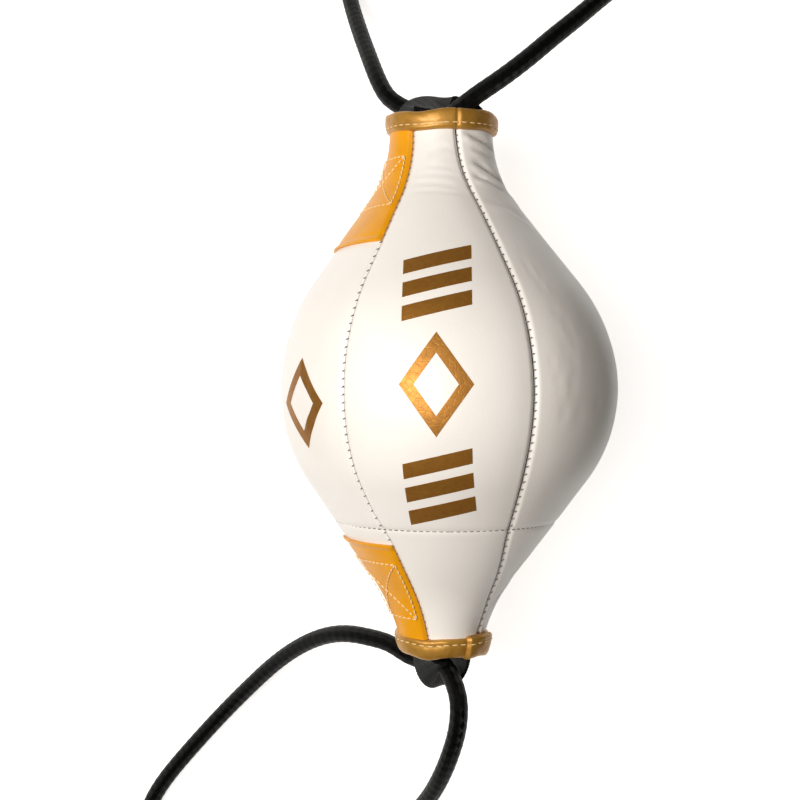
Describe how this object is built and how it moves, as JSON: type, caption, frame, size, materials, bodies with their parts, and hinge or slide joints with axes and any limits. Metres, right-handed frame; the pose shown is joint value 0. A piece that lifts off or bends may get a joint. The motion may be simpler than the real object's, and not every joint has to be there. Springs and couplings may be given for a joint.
{
  "type": "double end bag",
  "caption": "Sewn leather double end bag with neck tabs, bound mouths, webbing loops and elastic cords that end in swivelling snap hooks.",
  "frame": {"origin": "under the middle of the bag, its webbing loops included, on the surface that it lies on", "axes": "+Y along the bag's axis from the bottom mouth to the top mouth, +Z up, +X to the right seen from above with +Y up"},
  "size_m": [0.3205, 0.949, 0.185],
  "materials": {
    "white_leather": "smooth white coated leather, soft gloss",
    "yellow_leather": "smooth yellow-orange leather",
    "gold_binding": "metallic gold coated binding",
    "black_webbing": "black woven nylon webbing",
    "lining_cloth": "plain black lining cloth",
    "bladder_rubber": "matt butyl rubber",
    "elastic_cord": "black braided elastic cord",
    "plated_steel": "nickel-plated steel",
    "spring_steel": "bare spring steel"
  },
  "bodies": {
    "bag": {"panel_front": "white_leather", "panel_front_right": "white_leather", "panel_back_right": "white_leather", "panel_back": "white_leather", "panel_back_left": "white_leather", "panel_front_left": "white_leather", "lower_panel_front": "white_leather", "lower_panel_front_right": "white_leather", "lower_panel_back_right": "white_leather", "lower_panel_back": "white_leather", "lower_panel_back_left": "white_leather", "lower_panel_front_left": "white_leather", "tab_top_left": "yellow_leather", "tab_top_right": "yellow_leather", "tab_low_left": "yellow_leather", "tab_low_right": "yellow_leather", "binding_top": "gold_binding", "binding_low": "gold_binding", "loop_top": "black_webbing", "loop_low": "black_webbing", "lining": "lining_cloth", "bladder": "bladder_rubber", "bladder_valve": "bladder_rubber", "cord_top_left": "elastic_cord", "cord_top_right": "elastic_cord", "cord_low_left": "elastic_cord", "cord_low_right": "elastic_cord"},
    "clamp_top_body": {"clamp_top": "plated_steel", "cord_ends_top": "elastic_cord"},
    "hook_top_body": {"swivel_rivet_top": "plated_steel", "hook_top": "plated_steel", "gate_pin_top": "plated_steel", "gate_spring_top": "spring_steel"},
    "gate_top_body": {"gate_top": "plated_steel"},
    "clamp_low_body": {"clamp_low": "plated_steel", "cord_ends_low": "elastic_cord"},
    "hook_low_body": {"swivel_rivet_low": "plated_steel", "hook_low": "plated_steel", "gate_pin_low": "plated_steel", "gate_spring_low": "spring_steel"},
    "gate_low_body": {"gate_low": "plated_steel"}
  },
  "joints": [
    {"name": "top_pull", "type": "slide", "parent": "bag", "child": "clamp_top_body", "axis": [0, 1, 0], "range_m": [0, 0.15], "stiffness_N_per_m": 60, "deforming": ["cord_top_left", "cord_top_right"]},
    {"name": "top_swivel", "type": "hinge", "parent": "clamp_top_body", "child": "hook_top_body", "pos_m": [0.01, 0.425, 0.008], "axis": [0, 1, 0], "continuous": true},
    {"name": "top_gate", "type": "hinge", "parent": "hook_top_body", "child": "gate_top_body", "pos_m": [0.001, 0.4438, 0.008], "axis": [0, 0, -1], "range_deg": [0, 26], "stiffness_Nm_per_rad": 0.02, "springref_deg": -20.05},
    {"name": "low_pull", "type": "slide", "parent": "bag", "child": "clamp_low_body", "axis": [0, -1, 0], "range_m": [0, 0.15], "stiffness_N_per_m": 60, "deforming": ["cord_low_left", "cord_low_right"]},
    {"name": "low_swivel", "type": "hinge", "parent": "clamp_low_body", "child": "hook_low_body", "pos_m": [-0.085, -0.41, 0.008], "axis": [0, -1, 0], "continuous": true},
    {"name": "low_gate", "type": "hinge", "parent": "hook_low_body", "child": "gate_low_body", "pos_m": [-0.076, -0.4288, 0.008], "axis": [0, 0, -1], "range_deg": [0, 26], "stiffness_Nm_per_rad": 0.02, "springref_deg": -20.05}
  ]
}
